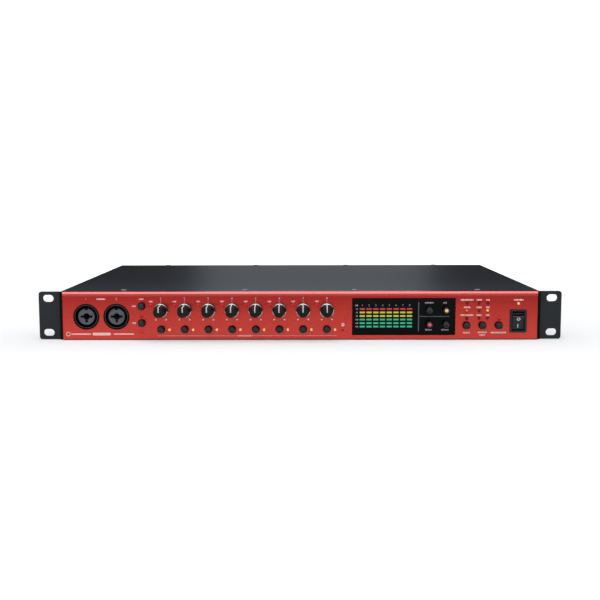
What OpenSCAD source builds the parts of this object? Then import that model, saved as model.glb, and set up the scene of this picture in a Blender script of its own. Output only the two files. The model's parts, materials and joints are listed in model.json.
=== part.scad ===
// Rack-mounted eight-channel microphone preamplifier and audio interface, one rack unit tall.
// Millimetres. X runs right seen from the front, Y to the rear, Z up.
// The origin is the centre of the rack slot pattern, on the rear faces of the ears.

/* [Rack] */
// Width over both ears
rack_w = 482.6; // [482:0.1:484]
// Distance between the left and right slot centres
slot_span_x = 465.1; // [464:0.1:466]
// Distance between the upper and lower slot centres
slot_span_z = 31.75; // [31:0.05:32]
// Length of a slot, end to end
slot_len = 10; // [8:0.5:11]
// Width of a slot
slot_w = 6.6; // [6:0.1:7]
// Thickness of an ear
ear_t = 3; // [2:0.5:4]
// Height of an ear
ear_h = 44.4; // [43:0.1:44.4]

/* [Case] */
// Height of the fascia and of the whole case
case_h = 44.6; // [44.6:0.1:46]
// Width of the case over its side walls
case_w = 443; // [440:0.5:445]
// Depth from the front of the fascia to the rear panel
case_d = 308; // [286:1:330]
// Thickness of the folded steel sheet
sheet_t = 1.2; // [1:0.1:1.4]

/* [Fascia] */
// Width of the red front plate
fascia_w = 437.2; // [436:0.1:439]
// Thickness of the red front plate
fascia_t = 3; // [2.5:0.1:3.5]
// Chamfer along the top front edge
top_chamfer = 1.6; // [0.8:0.1:2]
// Chamfer along the other front edges
edge_chamfer = 0.8; // [0.3:0.1:1]

/* [Gain knobs] */
// Number of channels
channels = 8; // [4:1:8]
// Distance between neighbouring channels
channel_pitch = 21.8; // [20:0.1:21.8]
// Diameter of the knob's skirt
skirt_d = 13; // [12.6:0.1:14]
// Diameter of the knob's front face
knob_face_d = 9.6; // [8.5:0.1:11]
// How far a knob stands out of the fascia
knob_h = 16.4; // [14:0.1:18]

/* [Buttons] */
// Diameter of a button cap
cap_d = 5.8; // [5:0.1:6]
// Diameter of the hole around a button cap
cap_hole_d = 7.2; // [7:0.1:7.6]
// How far a button stands out of the fascia
cap_h = 6; // [4:0.1:7]
// Travel of a button
cap_travel = 1.2; // [0.5:0.1:1.5]

/* [Combo jacks] */
// Bore of the jack socket
jack_d = 6.4; // [6.35:0.01:6.5]
// Outer diameter of the front barrel
barrel_d = 23.6; // [23:0.1:23.8]
// Diameter of the grey core inside the ring groove
core_d = 16.1; // [15.5:0.1:16.3]

/* [Power switch] */
// Width of the switch bezel
bezel_w = 15.4; // [15:0.1:16]
// Height of the switch bezel
bezel_h = 21.4; // [21:0.1:22]
// Angle between the two rest positions of the rocker
rocker_turn = 20; // [14:1:20]

/* [Hidden] */
$fn = 48;
eps = 0.01;

// Planes from front to rear
ear_front_y = -ear_t;
subpanel_t = 2;
fascia_rear_y = ear_front_y - subpanel_t;
fascia_y = fascia_rear_y - fascia_t;
rear_y = fascia_y + case_d;
board_y = 8;
board_t = 1.6;
lip_y = 1;
board_z = [-18.8, 18.8];
front_board_x = [-153, 190];

// Heights
top_z = case_h / 2;
base_z = -case_h / 2;
cover_top_z = top_z - 0.2;
cover_under_z = cover_top_z - sheet_t;
floor_z = base_z + sheet_t;
lip_t = 1.5;
wall_in_x = case_w / 2 - sheet_t;
wall_lip_w = 9;
vent_y = 110;
vent_pitch = 8;
vent_w = 3;
vents = 14;
standoff_h = 3.8;
main_board_z = floor_z + standoff_h;
parts_z = main_board_z + board_t;

// Ears and front plates
slot_x = slot_span_x / 2;
slot_z = slot_span_z / 2;
ear_in_x = case_w / 2;
ear_corner_r = 2.5;
flange_t = 2;
flange_len = 70;
flange_h = 36;
flange_screw_y = [14, 36, 58];
flange_screw_z = [-8, 8];
subpanel_w = case_w;
lip_end_gap = 0.8;
window_clear = 0.1;

// Controls on the fascia: [x, z]
jack_z = -0.5;
front_jack_x = [-196.5, -168.7];
knob_z = 5.2;
function knob_x(i) = -127.8 + channel_pitch * i;
channel_button_z = -12.4;
phantom_x = -145.5;
phantom_at = [[phantom_x, 9.2], [phantom_x, -6.4]];
clock_at = [[153.2, -8.9], [167.8, -8.9], [182.8, -8.9]];
window_x = [48.1, 142.8];
window_z = [-17.8, 16.4];
window_w = window_x[1] - window_x[0];
window_h = window_z[1] - window_z[0];
window_mid = [(window_x[0] + window_x[1]) / 2, (window_z[0] + window_z[1]) / 2];
window_button_at = [[118.7, 5.4], [134, 5.4], [118.7, -7.6], [134, -7.6]];
channel_button_at = [for (i = [0 : channels - 1]) [knob_x(i), channel_button_z]];
fascia_button_at = concat(channel_button_at, phantom_at, clock_at);
all_button_at = concat(fascia_button_at, window_button_at);

// Lamps: [x, z]
lamp_hole_gap = 0.2;
small_lamp_d = 1.8;
lamp_d = 2.4;
lamp_proud = 0.3;
power_lamp_at = [200.7, 11.3];
amber_at = concat([for (i = [0 : channels - 1]) [knob_x(i) + 7.6, -12.8]], [power_lamp_at]);
peak_at = [for (i = [0 : channels - 1]) [knob_x(i) - 9.2, 10.6]];
status_x = [153.4, 164.5, 172.4];
status_z = [11.8, 4.9, -2];
rate_lamp_at = [status_x[0], status_z[1]];
lock_lamp_at = [status_x[2], status_z[1]];
lit_at = [rate_lamp_at, lock_lamp_at];
status_grid = [for (x = status_x, z = status_z) if ([x, z] != rate_lamp_at && [x, z] != lock_lamp_at) [x, z]];
status_at = concat(status_grid, [[183, -2], [phantom_x, 0.5], [phantom_x, -14.7]]);
pin_hole_at = [39.6, -13.4];
pin_hole_d = 1.3;

// Meter bars
bar_w = 4.8;
bar_h = 1.7;
bar_pitch_x = 6.2;
bar_x = 57.4;
bar_z = [6.3, 3.1, -0.2, -3.5, -6.8, -10];
window_face_y = fascia_y + 0.2;

// Gain knob and its potentiometer
shaft_d = 5.9;
shaft_gap = 0.1;
shaft_end_y = ear_front_y + 4;
bushing_d = 7;
pot_hole_d = 7.2;
fascia_pot_hole_d = 11.6;
knob_gap = 0.6;
skirt_h = 2;
pot_w = 9.6;
pot_h = 10.4;
pot_depth = 7;
nut_af = 10;
nut_t = 2;

// Button internals
collar_d = 7.6;
collar_t = 1.2;
collar_y = ear_front_y + 0.6;
stem_d = 3;
stem_end_y = 4;
switch_w = 6;
switch_y = 1.6;
switch_bore_d = 3.8;
subpanel_cap_hole_d = 6.6;

// Combo jack, with its front face in the plane y = 0 and the body behind it
jack_body_w = 26;
jack_body_h = 31;
jack_body_d = 27;
groove_out_d = 19.8;
groove_depth = 12;
core_recess = 0.8;
core_gap = 0.1;
jack_screw_x = 9.5;
jack_screw_z = 12;
contact_r = 4.3;
contact_hole_d = 2.6;
contact_hole_depth = 11;
contact_d = 2;
jack_hole_d = 24;
jack_bore_len = 24;
tag_len = 4;
rear_proud = 0.6;
rear_jack_x = [for (i = [0 : 5]) -188 + 30 * i];

// Power switch
switch_x = 200.6;
switch_z = -4.85;
bezel_proud = 1.5;
switch_body_w = 13;
switch_body_h = 19.2;
switch_body_d = 12;
aperture_w = 11.2;
aperture_h = 17.8;
rocker_w = 10.6;
rocker_r = 8.6;
rocker_neck = 3.3;
pivot_y = ear_front_y - 2;
pivot_d = 3;
pivot_len = 0.8;
pivot_gap = 0.1;

// Multi-way connectors, twice: 13 contacts over 12
dsub_x = [10, 70];
dsub_z = 0;
dsub_hole_span = 47;
dsub_flange_w = 53;
dsub_flange_h = 12.5;
dsub_w = 38.8;
dsub_h = 8.3;
dsub_slope = 1.6;
dsub_clear = 1.2;
dsub_depth = 11;
dsub_proud = 6;
dsub_pitch = 2.76;
dsub_row_z = 1.4;
dsub_pin_d = 1.1;
jack_post_af = 5;
jack_post_y = [-4, 6];

// Optical ports and coaxial sockets: [x, z]
optical_at = [for (i = [0 : 3]) [110 + 14 * i, 8]];
optical_w = 9.6;
optical_hole_w = 6.4;
optical_depth = 12;
optical_hole_depth = 8;
optical_proud = 0.8;
bnc_at = [[115, -9], [147, -9]];
bnc_d = 9.6;
bnc_wall = 0.7;
bnc_core_d = 4.6;
bnc_len = 10;
bnc_depth = 14;
bnc_nut_af = 12;
bnc_lug_d = 2;

// Mains inlet
inlet_at = [186, 0];
inlet_w = 27;
inlet_h = 20;
inlet_depth = 24;
inlet_flange_w = 48;
inlet_flange_t = 2.4;
inlet_screw_span = 40;
inlet_cavity_w = 24;
inlet_cavity_h = 16;
inlet_cavity_bevel = 3.5;
inlet_cavity_depth = 15;
inlet_pin_at = [[0, 2], [-7, -2], [7, -2]];
inlet_pin = [2, 4];
inlet_pin_recess = 5;
inlet_tag_len = 8;

// Screws, all one size
screw_d = 3;
screw_clear_d = 3.3;
screw_head_d = 5.8;
screw_head_h = 0.9;
screw_len = 5;
flat_head_d = 5.4;
flat_screw_len = 4;
flat_head_gap = 0.1;
slot_depth = 0.6;
cover_front_screw_y = lip_y + 5;
cover_rear_screw_y = rear_y - 7;
cover_screw_x = [-164, -51, 51, 165];
cover_rear_screw_x = [-163, -55, 55, 163];

// Angle rails behind the panels, for the cover's and the tray's screws
rail_leg = 3;
rail_w = 12;
front_rail_half = 212;
rear_rail_half = 206;

// Boards inside
main_board_x = [-212, 160];
main_board_step_x = 96;
main_board_y = [14, 290];
main_board_step_y = 214;
supply_x = [102, 212];
supply_y = [24, 204];
main_screw_at = [[-205, 30], [-205, 236], [-60, 30], [-60, 236], [88, 30], [88, 236]];
supply_screw_at = [[108, 32], [206, 32], [108, 196], [206, 196]];

// What stands on the boards
preamp_chip_y = 60;
preamp_capacitor_y = [80, 96];
converter_at = [[-60, 159], [0, 159]];
clock_can_at = [-126, 159];
filter_capacitor_x = [40, 56, 72];
filter_capacitor_y = [190, 206];
heat_sink_x = [118, 122];
heat_sink_y = [44, 104];
heat_sink_h = 22;
mains_capacitor_x = [180, 198];
mains_capacitor_y = 168;
output_capacitor_x = 192;
output_capacitor_y = [60, 76, 92];
core_x = [136, 172];
core_y = [[110, 122], [138, 150]];
core_h = 26;
winding_d = 24;
ribbon_x = [-100, 0, 70];
ribbon_w = 24;
ribbon_bend_y = 34;

// Helpers

// Flat shape drawn in X and Z, from y0 back to y1
module slab(y0, y1) {
  translate([0, y1, 0]) rotate([90, 0, 0]) linear_extrude(y1 - y0) children();
}

// Round bar along Y
module rod(at, y0, y1, d) {
  translate([at[0], y0, at[1]]) rotate([-90, 0, 0]) cylinder(h = y1 - y0, d = d);
}

// Box given by its lowest and highest corners
module box(low, high) {
  translate(low) cube(high - low);
}

// Rectangle centred on [x, z]
module rect_at(at, w, h) {
  translate(at) square([w, h], center = true);
}

// Rectangle with round corners, centred
module round_rect(w, h, r) {
  square([w - 2 * r, h], center = true);
  square([w, h - 2 * r], center = true);
  for (x = [-1, 1], z = [-1, 1]) translate([x * (w / 2 - r), z * (h / 2 - r)]) circle(r);
}

// Slot with round ends, long in X
module slot_shape(len, w) {
  square([len - w, w], center = true);
  for (x = [-1, 1]) translate([x * (len - w) / 2, 0]) circle(d = w);
}

// Screw with its head seat at the origin and its shank running down -Z
module screw() {
  difference() {
    union() {
      translate([0, 0, -screw_len]) cylinder(h = screw_len + eps, d = screw_d, $fn = 24);
      cylinder(h = screw_head_h, d = screw_head_d, $fn = 32);
    }
    for (a = [0, 90]) rotate(a) translate([-1.5, -0.3, screw_head_h - slot_depth]) cube([3, 0.6, 1]);
  }
}

// Flat-headed screw with its head flush at the origin and its shank running up
module flat_screw() {
  difference() {
    union() {
      cylinder(h = sheet_t - flat_head_gap, d1 = flat_head_d, d2 = screw_d, $fn = 32);
      cylinder(h = flat_screw_len, d = screw_d, $fn = 24);
    }
    for (a = [0, 90]) rotate(a) translate([-1.3, -0.3, slot_depth - 1]) cube([2.6, 0.6, 1]);
  }
}

// Holes of every lamp, widened by a gap
module lamp_holes() {
  for (at = peak_at) translate(at) circle(d = small_lamp_d + lamp_hole_gap, $fn = 24);
  for (at = concat(amber_at, status_at, lit_at)) translate(at) circle(d = lamp_d + lamp_hole_gap, $fn = 24);
}

// Case

module base_tray() color("#26282b") difference() {
  union() {
    box([-case_w / 2, ear_front_y, base_z], [case_w / 2, rear_y, floor_z]);
    for (s = [-1, 1]) {
      box([min(s * case_w / 2, s * wall_in_x), ear_front_y, base_z],
          [max(s * case_w / 2, s * wall_in_x), rear_y, cover_under_z]);
      box([min(s * case_w / 2, s * (case_w / 2 - wall_lip_w)), lip_y + 14, cover_under_z - sheet_t],
          [max(s * case_w / 2, s * (case_w / 2 - wall_lip_w)), rear_y - 16, cover_under_z]);
    }
  }
  for (s = [-1, 1], y = flange_screw_y, z = flange_screw_z) translate([s * case_w / 2, y, z])
    rotate([0, 90, 0]) cylinder(h = 8, d = screw_clear_d, center = true, $fn = 24);
  for (s = [-1, 1], i = [0 : vents - 1]) translate([s * case_w / 2 - 4, vent_y + vent_pitch * i, -12])
    cube([8, vent_w, 24]);
  for (x = cover_screw_x, y = [cover_front_screw_y, cover_rear_screw_y]) translate([x, y, base_z - eps])
    cylinder(h = sheet_t + 2 * eps, d1 = flat_head_d + 0.4, d2 = screw_clear_d, $fn = 32);
}

module top_cover() color("#3a3c40") difference() {
  box([-case_w / 2, lip_y, cover_under_z], [case_w / 2, rear_y, cover_top_z]);
  for (x = cover_screw_x) translate([x, cover_front_screw_y, cover_under_z - 1])
    cylinder(h = 4, d = screw_clear_d, $fn = 24);
  for (x = cover_rear_screw_x) translate([x, cover_rear_screw_y, cover_under_z - 1])
    cylinder(h = 4, d = screw_clear_d, $fn = 24);
}

module front_fascia() color("#b83a38") difference() {
  rotate([90, 0, 90]) linear_extrude(fascia_w, center = true)
    polygon([[fascia_rear_y, base_z], [fascia_y + edge_chamfer, base_z], [fascia_y, base_z + edge_chamfer],
             [fascia_y, top_z - top_chamfer], [fascia_y + top_chamfer, top_z], [lip_y, top_z],
             [lip_y, top_z - sheet_t], [fascia_rear_y, top_z - sheet_t]]);
  for (s = [-1, 1]) {
    translate([s * fascia_w / 2, fascia_y, 0]) rotate(45)
      cube([edge_chamfer * sqrt(2), edge_chamfer * sqrt(2), 2 * case_h], center = true);
    translate([s * (fascia_w / 2 + 2 - lip_end_gap), 2, top_z])
      cube([4, 4 + 2 * ear_t + eps, 4 * sheet_t], center = true);
  }
  slab(fascia_y - 1, fascia_rear_y + 1) {
    for (x = front_jack_x) translate([x, jack_z]) circle(d = jack_hole_d);
    for (i = [0 : channels - 1]) translate([knob_x(i), knob_z]) circle(d = fascia_pot_hole_d);
    for (at = fascia_button_at) translate(at) circle(d = cap_hole_d, $fn = 32);
    lamp_holes();
    translate(pin_hole_at) circle(d = pin_hole_d, $fn = 24);
    rect_at(window_mid, window_w + 2 * window_clear, window_h + 2 * window_clear);
    rect_at([switch_x, switch_z], switch_body_w + 0.2, switch_body_h + 0.2);
  }
}

module front_subpanel() color("#202225") slab(fascia_rear_y, ear_front_y) difference() {
  union() {
    rect_at([0, -sheet_t / 2], subpanel_w, case_h - sheet_t);
    for (s = [-1, 1]) rect_at([s * (subpanel_w + fascia_w) / 4, 0], (subpanel_w - fascia_w) / 2, case_h);
  }
  for (x = front_jack_x) translate([x, jack_z]) circle(d = jack_hole_d);
  for (i = [0 : channels - 1]) translate([knob_x(i), knob_z]) circle(d = pot_hole_d);
  for (at = all_button_at) translate(at) circle(d = subpanel_cap_hole_d, $fn = 32);
  lamp_holes();
  translate(pin_hole_at) circle(d = pin_hole_d, $fn = 24);
  for (i = [0 : 7], z = bar_z) rect_at([bar_x + bar_pitch_x * i, z], bar_w, bar_h);
  rect_at([switch_x, switch_z], switch_body_w + 0.2, switch_body_h + 0.2);
}

// Angle rail against a panel, with its leg at leg_y; s is 1 under the cover and -1 on the floor
module rail(s, half, y, leg_y, hole_x, hole_y) {
  face_z = s > 0 ? cover_under_z : floor_z;
  plate_z = face_z - s * lip_t;
  leg_z = plate_z - s * rail_leg;
  difference() {
    union() {
      box([-half, y[0], min(face_z, plate_z)], [half, y[1], max(face_z, plate_z)]);
      box([-half, leg_y[0], min(face_z, leg_z)], [half, leg_y[1], max(face_z, leg_z)]);
    }
    for (x = hole_x) translate([x, hole_y, (face_z + plate_z) / 2])
      cylinder(h = 2 * lip_t, d = screw_d, center = true, $fn = 24);
  }
}

module mounting_rails() color("#33363a") for (s = [-1, 1]) {
  rail(s, front_rail_half, [ear_front_y, lip_y + rail_w], [ear_front_y, ear_front_y + lip_t],
       cover_screw_x, cover_front_screw_y);
  rail(s, rear_rail_half, [rear_y - rail_w, rear_y - lip_t], [rear_y - 2 * lip_t, rear_y - lip_t],
       s > 0 ? cover_rear_screw_x : cover_screw_x, cover_rear_screw_y);
}

// Ear for the side s: 1 is the right one
module rack_ear(s) difference() {
  union() {
    slab(ear_front_y, 0) intersection() {
      rect_at([s * (rack_w / 2 + ear_in_x) / 2, 0], rack_w / 2 - ear_in_x, ear_h);
      translate([s * ear_in_x, 0]) round_rect(rack_w - 2 * ear_in_x, ear_h, ear_corner_r);
    }
    box([min(s * ear_in_x, s * (ear_in_x + flange_t)), -eps, -flange_h / 2],
        [max(s * ear_in_x, s * (ear_in_x + flange_t)), flange_len, flange_h / 2]);
  }
  slab(ear_front_y - 1, 1) for (z = [-1, 1]) translate([s * slot_x, z * slot_z]) slot_shape(slot_len, slot_w);
  for (y = flange_screw_y, z = flange_screw_z) translate([s * ear_in_x, y, z]) rotate([0, 90, 0])
    cylinder(h = 8, d = screw_clear_d, center = true, $fn = 24);
}

module rack_ear_left() color("#2b2d30") rack_ear(-1);
module rack_ear_right() color("#2b2d30") rack_ear(1);

// Outline of a D-shaped connector opening
module d_shape(w, h, slope) {
  polygon([[-w / 2, h / 2], [w / 2, h / 2], [w / 2 - slope, -h / 2], [-w / 2 + slope, -h / 2]]);
}

module rear_panel() color("#26282b") slab(rear_y - lip_t, rear_y) difference() {
  rect_at([0, (floor_z + cover_under_z) / 2], 2 * wall_in_x, cover_under_z - floor_z);
  for (x = rear_jack_x) {
    translate([x, jack_z]) circle(d = jack_hole_d);
    for (s = [-1, 1]) translate([x - s * jack_screw_x, jack_z + s * jack_screw_z])
      circle(d = screw_clear_d, $fn = 24);
  }
  for (x = dsub_x) {
    translate([x, dsub_z]) d_shape(dsub_w + dsub_clear, dsub_h + dsub_clear, dsub_slope);
    for (s = [-1, 1]) translate([x + s * dsub_hole_span / 2, dsub_z]) circle(d = screw_clear_d, $fn = 24);
  }
  for (at = optical_at) rect_at(at, optical_w, optical_w);
  for (at = bnc_at) translate(at) circle(d = bnc_d + 0.4);
  rect_at(inlet_at, inlet_w + 0.2, inlet_h + 0.2);
  for (s = [-1, 1]) translate([inlet_at[0] + s * inlet_screw_span / 2, inlet_at[1]])
    circle(d = screw_clear_d, $fn = 24);
}

// Display

module meter_window() color("#0c0d10") slab(window_face_y, fascia_rear_y) difference() {
  translate(window_mid) round_rect(window_w, window_h, 0.6);
  for (at = window_button_at) translate(at) circle(d = cap_hole_d, $fn = 32);
  for (i = [0 : 7], z = bar_z) rect_at([bar_x + bar_pitch_x * i, z], bar_w, bar_h);
}

// One row or several rows of light bars, reaching back to the front board
module meter_bars(rows) {
  for (i = [0 : 7], r = rows) slab(window_face_y, board_y)
    rect_at([bar_x + bar_pitch_x * i, bar_z[r]], bar_w - 0.02, bar_h - 0.02);
}

module meter_bars_red() color("#dc3c3c") meter_bars([0]);
module meter_bars_yellow() color("#d7cd3c") meter_bars([1, 2]);
module meter_bars_green() color("#32c88c") meter_bars([3, 4, 5]);

// Lens rods from the front board to just proud of the fascia
module lamps(places, d) {
  for (at = places) rod(at, fascia_y - lamp_proud, board_y, d, $fn = 24);
}

module lit_lamps() color("#ffc878") lamps(concat(amber_at, lit_at), lamp_d);
module peak_lamps() color("#d8502c") lamps(peak_at, small_lamp_d);
module status_lamps() color("#8c4a30") lamps(status_at, lamp_d);

// Controls

// Knob moulded onto its shaft, which reaches into the potentiometer
module gain_knob(i) {
  base_y = fascia_y - knob_gap;
  face_y = fascia_y - knob_h;
  color("#17181a") translate([knob_x(i), 0, knob_z]) rotate([90, 0, 0]) rotate_extrude() polygon([
    [0, -shaft_end_y], [shaft_d / 2, -shaft_end_y], [shaft_d / 2, -base_y],
    [skirt_d / 2 - 0.2, -base_y], [skirt_d / 2, -base_y + 0.3],
    [skirt_d / 2, -base_y + skirt_h - 0.5], [skirt_d / 2 - 0.7, -base_y + skirt_h],
    [knob_face_d / 2 + 0.5, -base_y + skirt_h + 1.2], [knob_face_d / 2, -face_y - 0.6],
    [knob_face_d / 2 - 0.6, -face_y], [0, -face_y]]);
}

module gain_knob_1() gain_knob(0);
module gain_knob_2() gain_knob(1);
module gain_knob_3() gain_knob(2);
module gain_knob_4() gain_knob(3);
module gain_knob_5() gain_knob(4);
module gain_knob_6() gain_knob(5);
module gain_knob_7() gain_knob(6);
module gain_knob_8() gain_knob(7);

// Cap with a dished front, a collar behind the sub-panel and a stem into its switch
module push_button(at) color("#2c3236") translate([at[0], 0, at[1]]) rotate([90, 0, 0])
  rotate_extrude($fn = 32) polygon([
    [0, -stem_end_y], [stem_d / 2, -stem_end_y], [stem_d / 2, -collar_y - collar_t],
    [collar_d / 2, -collar_y - collar_t], [collar_d / 2, -collar_y], [cap_d / 2, -collar_y],
    [cap_d / 2, -fascia_y + cap_h - 0.5], [cap_d / 2 - 0.5, -fascia_y + cap_h], [0, -fascia_y + cap_h]]);

module channel_button_1() push_button(channel_button_at[0]);
module channel_button_2() push_button(channel_button_at[1]);
module channel_button_3() push_button(channel_button_at[2]);
module channel_button_4() push_button(channel_button_at[3]);
module channel_button_5() push_button(channel_button_at[4]);
module channel_button_6() push_button(channel_button_at[5]);
module channel_button_7() push_button(channel_button_at[6]);
module channel_button_8() push_button(channel_button_at[7]);
module phantom_button_1() push_button(phantom_at[0]);
module phantom_button_2() push_button(phantom_at[1]);
module window_button_1() push_button(window_button_at[0]);
module window_button_2() push_button(window_button_at[1]);
module window_button_3() push_button(window_button_at[2]);
module window_button_4() push_button(window_button_at[3]);
module clock_button_1() push_button(clock_at[0]);
module clock_button_2() push_button(clock_at[1]);
module clock_button_3() push_button(clock_at[2]);

// Rocker resting with its lower end pressed in; its profile is a shallow V about the pivot
module power_rocker() color("#1a1c1e") translate([switch_x, pivot_y, switch_z])
  rotate([rocker_turn / 2, 0, 0]) {
    rise = rocker_r * tan(rocker_turn / 2);
    rotate([90, 0, 90]) linear_extrude(rocker_w, center = true) intersection() {
      circle(rocker_r);
      polygon([[-rocker_neck, 0], [-rocker_neck - rise, rocker_r], [2.5, rocker_r], [2.5, -rocker_r],
               [-rocker_neck - rise, -rocker_r]]);
    }
    rotate([0, 90, 0]) cylinder(h = rocker_w + 2 * pivot_len, d = pivot_d, center = true, $fn = 32);
  }

module power_switch_body() color("#16171a") translate([switch_x, 0, switch_z]) {
  floor_y = fascia_y + switch_body_d + 4;
  back_y = floor_y + 2;
  difference() {
    union() {
      slab(fascia_y - bezel_proud, fascia_y) round_rect(bezel_w, bezel_h, 1);
      slab(fascia_y - eps, back_y) rect_at([0, 0], switch_body_w, switch_body_h);
    }
    slab(fascia_y - bezel_proud - 1, floor_y) rect_at([0, 0], aperture_w, aperture_h);
    translate([0, pivot_y, 0]) rotate([0, 90, 0])
      cylinder(h = rocker_w + 2 * pivot_len + 0.2, d = pivot_d + 2 * pivot_gap, center = true, $fn = 32);
  }
  for (x = [-3.5, 3.5], z = [-5, 5])
    box([x - 0.4, back_y - 0.1, z - 2.4], [x + 0.4, back_y + 8, z + 2.4]);
}

// Combo jacks

// Put a jack part at both front sockets, or at all six rear ones
module at_front_jacks() {
  for (x = front_jack_x) translate([x, fascia_y, jack_z]) children();
}

module at_rear_jacks() {
  for (x = rear_jack_x) translate([x, rear_y + rear_proud, jack_z]) rotate(180) children();
}

// Shell whose body lies behind panels of a given thickness
module combo_shell(panel_t) difference() {
  union() {
    rod([0, 0], -0.2, panel_t + 0.2, barrel_d);
    box([-jack_body_w / 2, panel_t, -jack_body_h / 2 + 0.5],
        [jack_body_w / 2, jack_body_d, jack_body_h / 2]);
  }
  rod([0, 0], -1, groove_depth, groove_out_d);
  rod([0, 0], groove_depth - eps, jack_body_d + 1, core_d + core_gap);
}

module combo_core() difference() {
  rod([0, 0], core_recess, jack_body_d, core_d);
  rod([0, 0], -1, core_recess + jack_bore_len, jack_d);
  for (a = [0, 180, 270]) rotate([0, -a, 0])
    rod([contact_r, 0], -1, contact_hole_depth, contact_hole_d, $fn = 24);
  box([-1.4, -1, core_d / 2 - 2], [1.4, 9, core_d / 2 + 1]);
}

module contact_tags() for (a = [0, 180, 270]) rotate([0, -a, 0])
  rod([contact_r, 0], jack_body_d, jack_body_d + tag_len, contact_d, $fn = 24);

module combo_shells() color("#1d1e21") {
  at_front_jacks() combo_shell(ear_front_y - fascia_y);
  at_rear_jacks() difference() {
    combo_shell(lip_t + rear_proud);
    for (s = [-1, 1])
      rod([s * jack_screw_x, s * jack_screw_z], -1, screw_len + 2, screw_d + 0.1, $fn = 24);
  }
}

module combo_cores() color("#6d7075") {
  at_front_jacks() combo_core();
  at_rear_jacks() combo_core();
}

module combo_contacts() color("#c9b270") {
  at_front_jacks() contact_tags();
  at_rear_jacks() contact_tags();
}

// Electronics

// Body behind the sub-panel, threaded bushing through it and three legs into the front board
module gain_pot() difference() {
  union() {
    rod([0, 0], fascia_y + 0.5, ear_front_y + eps, bushing_d);
    box([-pot_w / 2, ear_front_y, -pot_h / 2], [pot_w / 2, ear_front_y + pot_depth, pot_h / 2]);
    for (x = [-3, 0, 3]) box([x - 0.4, ear_front_y + pot_depth - eps, -0.4], [x + 0.4, board_y, 0.4]);
  }
  rod([0, 0], fascia_y - 1, shaft_end_y + 0.6, shaft_d + 2 * shaft_gap);
}

module gain_pots() color("#3c6a58") for (i = [0 : channels - 1]) translate([knob_x(i), 0, knob_z]) gain_pot();

module pot_nuts() color("#b9bcc0") for (i = [0 : channels - 1]) translate([knob_x(i), 0, knob_z])
  difference() {
    translate([0, fascia_rear_y, 0]) rotate([90, 0, 0]) cylinder(h = nut_t, d = nut_af / cos(30), $fn = 6);
    rod([0, 0], fascia_y - 1, ear_front_y, bushing_d + 0.1);
  }

module tact_switches() color("#2a2b2e") for (at = all_button_at) difference() {
  slab(switch_y, board_y) rect_at(at, switch_w, switch_w);
  rod(at, switch_y - 1, stem_end_y + cap_travel + 1, switch_bore_d, $fn = 32);
}

module front_board() color("#1f6b3a") slab(board_y, board_y + board_t) polygon([
  [front_board_x[0], board_z[0]], [front_board_x[1], board_z[0]],
  [front_board_x[1], board_z[1]], [front_board_x[0], board_z[1]]]);

// Stepped main board that leaves room for the mains supply
module main_board() color("#1f6b3a") difference() {
  translate([0, 0, main_board_z]) linear_extrude(board_t)
    polygon([[main_board_x[0], main_board_y[0]], [main_board_step_x, main_board_y[0]],
             [main_board_step_x, main_board_step_y], [main_board_x[1], main_board_step_y],
             [main_board_x[1], main_board_y[1]], [main_board_x[0], main_board_y[1]]]);
  for (at = main_screw_at) translate([at[0], at[1], main_board_z - 1])
    cylinder(h = 4, d = screw_clear_d, $fn = 24);
}

// Preamplifier chips and capacitors, two converters, a shielded clock and the filter capacitors
module board_components() color("#2e3034") {
  for (i = [0 : channels - 1]) {
    translate([knob_x(i) - 5, preamp_chip_y, parts_z]) cube([10, 10, 2.6]);
    for (y = preamp_capacitor_y) translate([knob_x(i), y, parts_z]) cylinder(h = 12, d = 8, $fn = 24);
  }
  for (at = converter_at) translate([at[0], at[1], parts_z + 1.2]) cube([18, 18, 2.4], center = true);
  translate([clock_can_at[0], clock_can_at[1], parts_z + 2]) cube([28, 28, 4], center = true);
  for (x = filter_capacitor_x, y = filter_capacitor_y) translate([x, y, parts_z])
    cylinder(h = 16, d = 10, $fn = 24);
}

module power_supply_board() color("#2a7a46") {
  difference() {
    box([supply_x[0], supply_y[0], main_board_z], [supply_x[1], supply_y[1], parts_z]);
    for (at = supply_screw_at) translate([at[0], at[1], main_board_z - 1])
      cylinder(h = 4, d = screw_clear_d, $fn = 24);
  }
  box([heat_sink_x[0], heat_sink_y[0], parts_z - eps],
      [heat_sink_x[1], heat_sink_y[1], parts_z + heat_sink_h]);
  for (x = mains_capacitor_x) translate([x, mains_capacitor_y, parts_z - eps])
    cylinder(h = 24, d = 16, $fn = 32);
  for (y = output_capacitor_y) translate([output_capacitor_x, y, parts_z - eps])
    cylinder(h = 18, d = 12, $fn = 32);
}

// Ferrite core with its windings
module mains_transformer() color("#7a5a2c") {
  for (y = core_y) box([core_x[0], y[0], parts_z], [core_x[1], y[1], parts_z + core_h]);
  translate([(core_x[0] + core_x[1]) / 2, core_y[0][1] - 1, parts_z + core_h / 2]) rotate([-90, 0, 0])
    cylinder(h = core_y[1][0] - core_y[0][1] + 2, d = winding_d);
}

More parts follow.
